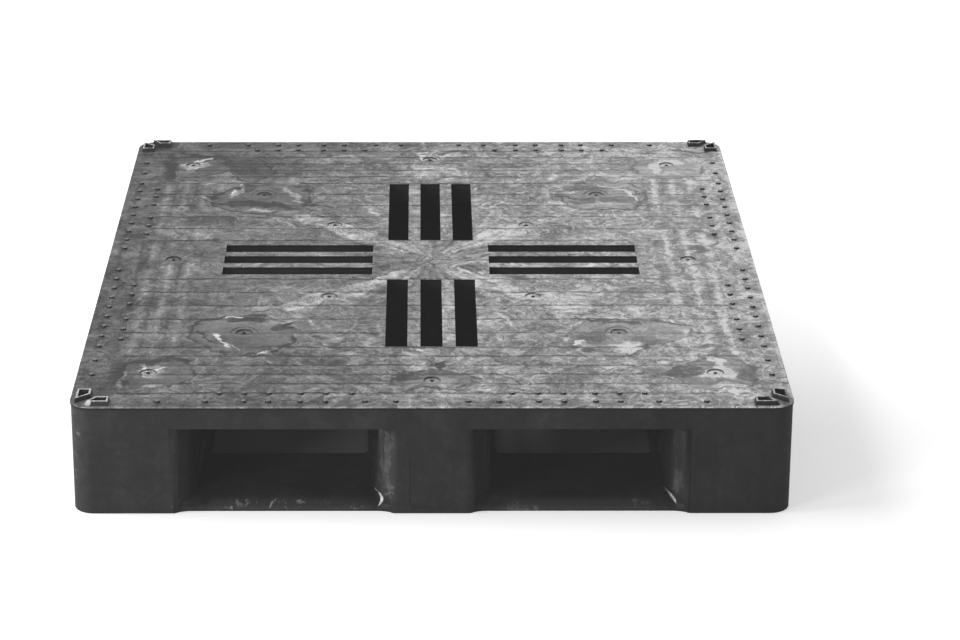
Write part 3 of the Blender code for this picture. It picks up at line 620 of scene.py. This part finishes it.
def gate_fans(tree, tone, wavy):
    """Fans that spread from the gates, folded so that one fan serves the gates of all quarters."""
    folded = add(tree, "ShaderNodeVectorMath", {0: wavy}, operation="ABSOLUTE").outputs[0]
    for gate, reach, strength in (((0.0, GATE_MIDDLE_Y), 0.13, 0.8), ((GATE_MIDDLE_X, 0.0), 0.09, 0.6),
                                  (GATE_INNER, 0.10, 0.6)):
        fan, distance = rays(tree, folded, gate, 34, 0.07)
        near_gate = where(tree, (distance, 0.02, reach, strength, 0.0))
        tone = layered(tree, tone, (stirred(tree, None, (fan, 1.0)), near_gate))
    return tone


def edge_tones(tree, tone, axes, torn_axes, along):
    """Darker strips along the left and the ends, and painted highlights along the right and front rims."""
    left_strip = where(tree, (torn_axes["X"], -0.455, -0.425, 1.0, 0.0))
    end_strip = where(tree, (along, 0.545, 0.590))
    front_end = where(tree, (torn_axes["Y"], -0.43, -0.33, 1.0, 0.0))
    right_rim_painted_highlight = where(tree, (axes["X"], HALF_X - 7 * MM, HALF_X - 3 * MM))
    front_rim_painted_highlight = where(tree, (axes["Y"], 3 * MM - HALF_Y, 6 * MM - HALF_Y, 1.0, 0.0))
    return layered(tree, tone, (left_strip, -0.07), (end_strip, -0.08), (front_end, -0.05),
                   (right_rim_painted_highlight, 0.16), (front_rim_painted_highlight, 0.20))


def rib_marks(tree, tone, axes, wavy, along, lively, breaks, bands):
    """Sink lines and pale crests over the ribs across the deck, and columns along its sides."""
    wavy_axes = add(tree, "ShaderNodeSeparateXYZ", {0: wavy}).outputs
    row_place = add(tree, "ShaderNodeMath", {0: wavy_axes["Y"]}, operation="ABSOLUTE")
    column_place = add(tree, "ShaderNodeMath", {0: wavy_axes["X"]}, operation="ABSOLUTE")
    broken = where(tree, (breaks, 0.38, 0.60, 0.35, 1.15))
    marks = []
    for shift, width in ((0.0, 4.2 * MM), (CREST_SHIFT, 7 * MM)):
        field = rows(tree, row_place, FIELD_RIBS, shift, width)
        ends = rows(tree, row_place, END_RIBS, shift, width)
        marks.append(add(tree, "ShaderNodeMath", {0: field, 1: ends}, operation="MAXIMUM"))
    sinks, crests = marks
    sinks = where(tree, sinks, (column_place, 0.435, 0.450, 1.0, 0.0))
    sinks = where(tree, sinks, broken, lively)
    tone = layered(tree, tone, (sinks, -0.43), (where(tree, crests, broken), 0.07))

    side_band = where(tree, (along, 0.36, 0.42, 1.0, 0.0), (bands, 0.38, 0.56))
    # Painted sheen: the side columns are painted paler towards the right
    side_band_with_sheen = where(tree, side_band, (axes["X"], -0.3, 0.3, 0.5, 1.0))
    columns = where(tree, rows(tree, column_place, SIDE_RIBS, 0.0, 8.5 * MM), side_band_with_sheen)
    gaps = where(tree, rows(tree, column_place, SIDE_GAPS, 0.0, 5 * MM), side_band)
    return layered(tree, tone, (columns, 0.32), (gaps, -0.12))


def slot_bars(tree, tone, axes):
    """The bars between the slots, a little paler than the deck round them."""
    across = add(tree, "ShaderNodeMath", {0: axes["X"]}, operation="ABSOLUTE")
    along = add(tree, "ShaderNodeMath", {0: axes["Y"]}, operation="ABSOLUTE")
    for side, end, group_end in ((across, along, SLOT_END_Y), (along, across, SLOT_END_X)):
        bars = where(tree, band(tree, side, 0.0, SLOT_GROUP_HALF), band(tree, end, SLOT_START, group_end))
        tone = layered(tree, tone, (bars, 0.05))
    return tone


def stud_plastic_painted_shade():
    """The same polyolefin on the studs: flanks painted near black as shade, under tops painted as pale as the
    deck.
    """
    material = new_material("polyolefin_studs_painted_shade")
    tree = material.node_tree
    place = add(tree, "ShaderNodeTexCoord").outputs["Object"]
    height = add(tree, "ShaderNodeSeparateXYZ", {0: place}).outputs["Z"]
    # Speckles of 17 mm, so that one pip is paler than the next
    speckle = patterns(tree, place, speckle=(60.0, 3.0, 0.5, 0.0, EVEN))["speckle"]
    # Painted light and shade: below the pips' tops, on flanks, nubs and rings, the colour is near black; the
    # tops are pale
    top = where(tree, (height, DECK_TOP + 2.3 * MM, DECK_TOP + 2.6 * MM, 0.0, 0.7))
    ramp = add(tree, "ShaderNodeValToRGB", {"Fac": layered(tree, top, (speckle, 0.3))})
    lay_greys(ramp, [(0.10, "121212"), (0.40, "1a1a1a"), (0.90, "7c7c7c")])
    finish_material(tree, ramp, 0.40, speckle, 0.3 * MM)
    return material


def face_angle(edge):
    """Signed angle over an edge: above zero on a ridge, below zero in a corner."""
    if not edge.is_manifold:
        return 0.0
    return math.degrees(edge.calc_face_angle_signed())


def near(value, target, slack=0.3 * MM):
    return abs(value - target) < slack


def round_edges(mesh, chosen, radius):
    edges = [edge for edge in mesh.edges if chosen(edge)]
    if edges:
        bmesh.ops.bevel(mesh, geom=edges, offset=radius, offset_type="OFFSET", segments=2,
                        profile=0.5, affect="EDGES", clamp_overlap=True)


def both_near(edge, height):
    return all(near(vert.co.z, height) for vert in edge.verts)


def is_lug_rim(edge):
    return both_near(edge, LUG_TOP) and face_angle(edge) > 35


def is_slot_lip(edge):
    inside = all(abs(vert.co.x) < SLOT_END_X + 10 * MM and abs(vert.co.y) < SLOT_END_Y + 10 * MM
                 for vert in edge.verts)
    return inside and both_near(edge, DECK_TOP) and face_angle(edge) > 60


def is_rail_edge(edge):
    outside = all(abs(vert.co.x) > HALF_X - 45 * MM or abs(vert.co.y) > HALF_Y - 45 * MM
                  for vert in edge.verts)
    low, high = (vert.co.z for vert in edge.verts)
    return outside and near(low, high) and near(min(low, high), RAIL_FACE) and face_angle(edge) > 15


def is_header_edge(edge):
    outside = all(abs(vert.co.x) > HALF_X - 4 * MM or abs(vert.co.y) > HALF_Y - 4 * MM
                  for vert in edge.verts)
    return outside and both_near(edge, DECK_BOTTOM) and face_angle(edge) > 50


def shade(item, angle=32):
    item.data.shade_smooth()
    item.data.set_sharp_from_angle(angle=math.radians(angle))


def as_plain_mesh(item):
    """Turns the object's evaluated shape into its own mesh and clears its modifiers."""
    depsgraph = bpy.context.evaluated_depsgraph_get()
    data = bpy.data.meshes.new_from_object(item.evaluated_get(depsgraph))
    item.modifiers.clear()
    item.data = data


def new_item(name, data):
    item = bpy.data.objects.new(name, data)
    bpy.context.scene.collection.objects.link(item)
    return item


def dressed_body(skin, deck):
    """The moulding with its edges rounded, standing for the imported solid."""
    mesh = bmesh.new()
    mesh.from_mesh(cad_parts["pallet_body"].data)
    bmesh.ops.remove_doubles(mesh, verts=mesh.verts[:], dist=0.02 * MM)
    bmesh.ops.dissolve_limit(mesh, angle_limit=math.radians(0.6), verts=mesh.verts[:],
                             edges=mesh.edges[:])
    for chosen, radius in ((is_rail_edge, 2 * MM), (is_header_edge, 1.2 * MM),
                           (is_slot_lip, 0.9 * MM), (is_lug_rim, 0.5 * MM)):
        round_edges(mesh, chosen, radius)
    data = bpy.data.meshes.new("dressed_body")
    mesh.to_mesh(data)
    mesh.free()
    data.materials.append(skin)
    data.materials.append(deck)
    for polygon in data.polygons:
        on_deck = DECK_TOP - 1.6 * MM < polygon.center.z < DECK_TOP + 0.1 * MM
        if on_deck and polygon.normal.z > 0.3:
            polygon.material_index = 1
    body = new_item("moulded_body", data)
    shade(body)
    body.modifiers.new("flat_faces_first", "WEIGHTED_NORMAL").keep_sharp = True
    as_plain_mesh(body)
    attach(body, "root")
    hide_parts("pallet_body")


def tree_on_points(name, labels, shape, turn, material):
    """Geometry Nodes that stand one shape on each point, with a named input for each size."""
    tree = bpy.data.node_groups.new(name, "GeometryNodeTree")
    tree.interface.new_socket("Points", in_out="INPUT", socket_type="NodeSocketGeometry")
    inputs = {}
    for label in labels:
        socket = tree.interface.new_socket(label, in_out="INPUT", socket_type="NodeSocketFloat")
        inputs[label] = socket.identifier
    tree.interface.new_socket("Shapes", in_out="OUTPUT", socket_type="NodeSocketGeometry")
    start = add(tree, "NodeGroupInput").outputs
    stand = add(tree, "GeometryNodeInstanceOnPoints", {"Points": start["Points"], "Rotation": turn,
                                                       "Instance": shape(tree, start)})
    real = add(tree, "GeometryNodeRealizeInstances", {0: stand})
    dressed = add(tree, "GeometryNodeSetMaterial", {"Geometry": real, "Material": material})
    add(tree, "NodeGroupOutput", {"Shapes": dressed})
    return tree, inputs


def tapered_stud(tree, start):
    return add(tree, "GeometryNodeMeshCone", {"Vertices": 20, "Side Segments": 2, "Fill Segments": 2,
                                              "Radius Top": start["Top radius"],
                                              "Radius Bottom": start["Foot radius"],
                                              "Depth": start["Height"]})


def bead_ring(tree, start):
    path = add(tree, "GeometryNodeCurvePrimitiveCircle", {"Resolution": 28, "Radius": start["Ring radius"]})
    section = add(tree, "GeometryNodeCurvePrimitiveCircle", {"Resolution": 8, "Radius": start["Bead radius"]})
    return add(tree, "GeometryNodeCurveToMesh", {"Curve": path, "Profile Curve": section})


def on_points(name, nodes, places, level, sizes, angle):
    """One shape on each place as a plain mesh, which rides with the pallet."""
    tree, inputs = nodes
    data = bpy.data.meshes.new(name)
    data.from_pydata([(x, y, level) for x, y in places], [], [])
    item = new_item(name, data)
    modifier = item.modifiers.new("shapes", "NODES")
    modifier.node_group = tree
    for label, size in sizes.items():
        modifier[inputs[label]] = size
    as_plain_mesh(item)
    shade(item, angle)
    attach(item, "root")


def pip_places():
    quarter = [(x, HALF_Y - PIP_OUTER_EDGE) for x in PIP_END_ROW]
    quarter += [(x, HALF_Y - PIP_INNER_EDGE) for x in PIP_END_INNER_ROW]
    quarter += [(HALF_X - PIP_OUTER_EDGE, y) for y in PIP_SIDE_ROW]
    quarter += [(HALF_X - PIP_INNER_EDGE, y) for y in PIP_SIDE_INNER_ROW]
    return [(x * sign_x, y * sign_y) for sign_x, sign_y in QUARTERS for x, y in quarter]


def quarter_gate_places():
    return [(GATE_QUARTER[0] * sign_x, GATE_QUARTER[1] * sign_y) for sign_x, sign_y in QUARTERS]


def gate_places():
    places = [(0.0, GATE_MIDDLE_Y), (0.0, -GATE_MIDDLE_Y), (GATE_MIDDLE_X, 0.0), (-GATE_MIDDLE_X, 0.0)]
    for sign_x, sign_y in QUARTERS:
        for x, y in (GATE_CORNER, GATE_QUARTER, GATE_INNER):
            places.append((x * sign_x, y * sign_y))
    return places


def studs_and_rings(material):
    """Pips, a nub in each gate's dimple, and rings tipped so that only their back halves show."""
    stud = tree_on_points("stud_on_each_point", PIP_SIZES, tapered_stud, (0.0, 0.0, 0.0), material)
    on_points("anti_slip_pips", stud, pip_places(), PIP_FOOT, PIP_SIZES, 50)
    on_points("gate_nubs", stud, gate_places(), NUB_FOOT, NUB_SIZES, 50)
    ring = tree_on_points("ring_on_each_point", GATE_RING, bead_ring, (RING_TIP, 0.0, 0.0), material)
    on_points("gate_rings", ring, gate_places(), DECK_TOP, GATE_RING, 60)
    on_points("quarter_gate_rings", ring, quarter_gate_places(), DECK_TOP, QUARTER_RING, 60)


def floor():
    """A white sweep that stays white to the camera but keeps the pallet's shadow.

    Inside the footprint the glow is faint and the floor is painted darker, as painted shade, so the ground
    seen through the fork openings stays dark.
    """
    material = new_material("white_floor")
    tree = material.node_tree
    seen = add(tree, "ShaderNodeLightPath").outputs["Is Camera Ray"]
    place = add(tree, "ShaderNodeTexCoord").outputs["Object"]
    axes = add(tree, "ShaderNodeSeparateXYZ", {0: place}).outputs
    open_ground = 0.0
    for axis, half in (("X", HALF_X), ("Y", HALF_Y)):
        distance = add(tree, "ShaderNodeMath", {0: axes[axis]}, operation="ABSOLUTE")
        outside = where(tree, (distance, half - 30 * MM, half - 12 * MM))
        open_ground = add(tree, "ShaderNodeMath", {0: outside, 1: open_ground}, operation="MAXIMUM")
    # Painted shade: the floor under the pallet is painted darker
    floor_paint_with_shade = add(tree, "ShaderNodeMix", {0: open_ground, 6: linear("8c8c8c"), 7: linear("e6e6e6")},
                data_type="RGBA")
    matt = add(tree, "ShaderNodeBsdfDiffuse", {"Color": floor_paint_with_shade.outputs[2]})
    aside = add(tree, "ShaderNodeMath", {0: axes["X"]}, operation="ABSOLUTE")
    # The glow is weaker in front than behind and past the sides, which paints the shadow fading out there
    level = where(tree, (axes["Y"], -0.35, 0.30, FLOOR_GLOW, BACK_GLOW), (aside, 0.60, 0.72, 1.0, 1.20))
    glow_level = add(tree, "ShaderNodeMix", {0: open_ground, 2: UNDER_GLOW, 3: level}, data_type="FLOAT")
    glow = add(tree, "ShaderNodeEmission", {"Color": WHITE, "Strength": where(tree, seen, glow_level)})
    both = add(tree, "ShaderNodeAddShader", {0: matt, 1: glow})
    add(tree, "ShaderNodeOutputMaterial", {"Surface": both})
    mesh = bmesh.new()
    bmesh.ops.create_grid(mesh, x_segments=2, y_segments=2, size=30.0)
    data = bpy.data.meshes.new("floor")
    mesh.to_mesh(data)
    mesh.free()
    data.materials.append(material)
    new_item("floor", data)


def world_light():
    """Even white surroundings, a little brighter behind the pallet on its right."""
    world = bpy.data.worlds.new("studio")
    bpy.context.scene.world = world
    world.use_nodes = True
    tree = world.node_tree
    tree.nodes.clear()
    direction = add(tree, "ShaderNodeTexCoord").outputs["Generated"]
    axes = add(tree, "ShaderNodeSeparateXYZ", {0: direction}).outputs
    level = where(tree, (axes["X"], -0.30, 0.30, 0.40, 0.60), (axes["Y"], -0.50, 0.30, 0.60, 1.0))
    soft = add(tree, "ShaderNodeBackground", {"Color": WHITE, "Strength": level})
    plain = add(tree, "ShaderNodeBackground", {"Color": WHITE, "Strength": 1.0})
    seen = add(tree, "ShaderNodeLightPath").outputs["Is Camera Ray"]
    both = add(tree, "ShaderNodeMixShader", {0: seen, 1: soft, 2: plain})
    add(tree, "ShaderNodeOutputWorld", {"Surface": both})


def area_light(name, place, target, size, watts):
    data = bpy.data.lights.new(name, "AREA")
    data.shape = "SQUARE"
    data.size = size
    data.energy = watts
    lamp = bpy.data.objects.new(name, data)
    lamp.location = place
    aim = Vector(target) - Vector(place)
    lamp.rotation_euler = aim.to_track_quat("-Z", "Y").to_euler()
    bpy.context.scene.collection.objects.link(lamp)


def camera():
    data = bpy.data.cameras.new("camera")
    data.sensor_width = SENSOR_WIDTH
    data.lens = FOCAL_PIXELS / IMAGE_WIDTH * SENSOR_WIDTH
    data.shift_x = 0.5 - PRINCIPAL_X / IMAGE_WIDTH
    data.clip_end = 100.0
    item = bpy.data.objects.new("camera", data)
    turn = Matrix.Rotation(math.radians(-CAMERA_YAW), 4, "Z")
    turn @= Matrix.Rotation(math.radians(90 - CAMERA_PITCH), 4, "X")
    turn @= Matrix.Rotation(math.radians(-CAMERA_ROLL), 4, "Z")
    item.matrix_world = Matrix.Translation(CAMERA_PLACE) @ turn
    bpy.context.scene.collection.objects.link(item)
    bpy.context.scene.camera = item


camera()
dressed_body(moulded_skin(), flow_marked_deck(leaf_group()))
studs_and_rings(stud_plastic_painted_shade())
floor()
world_light()
area_light("key", (-2.15, -0.5, 2.2), (0.0, 0.0, 0.1), 1.6, 58.0)
area_light("fill", (-2.2, -2.6, 0.9), (0.0, -0.4, 0.08), 1.0, 42.0)
area_light("sheen", (1.0, 2.7, 1.15), (0.3, 0.0, 0.1), 1.4, 9.0)
bpy.context.scene.view_settings.view_transform = "Standard"
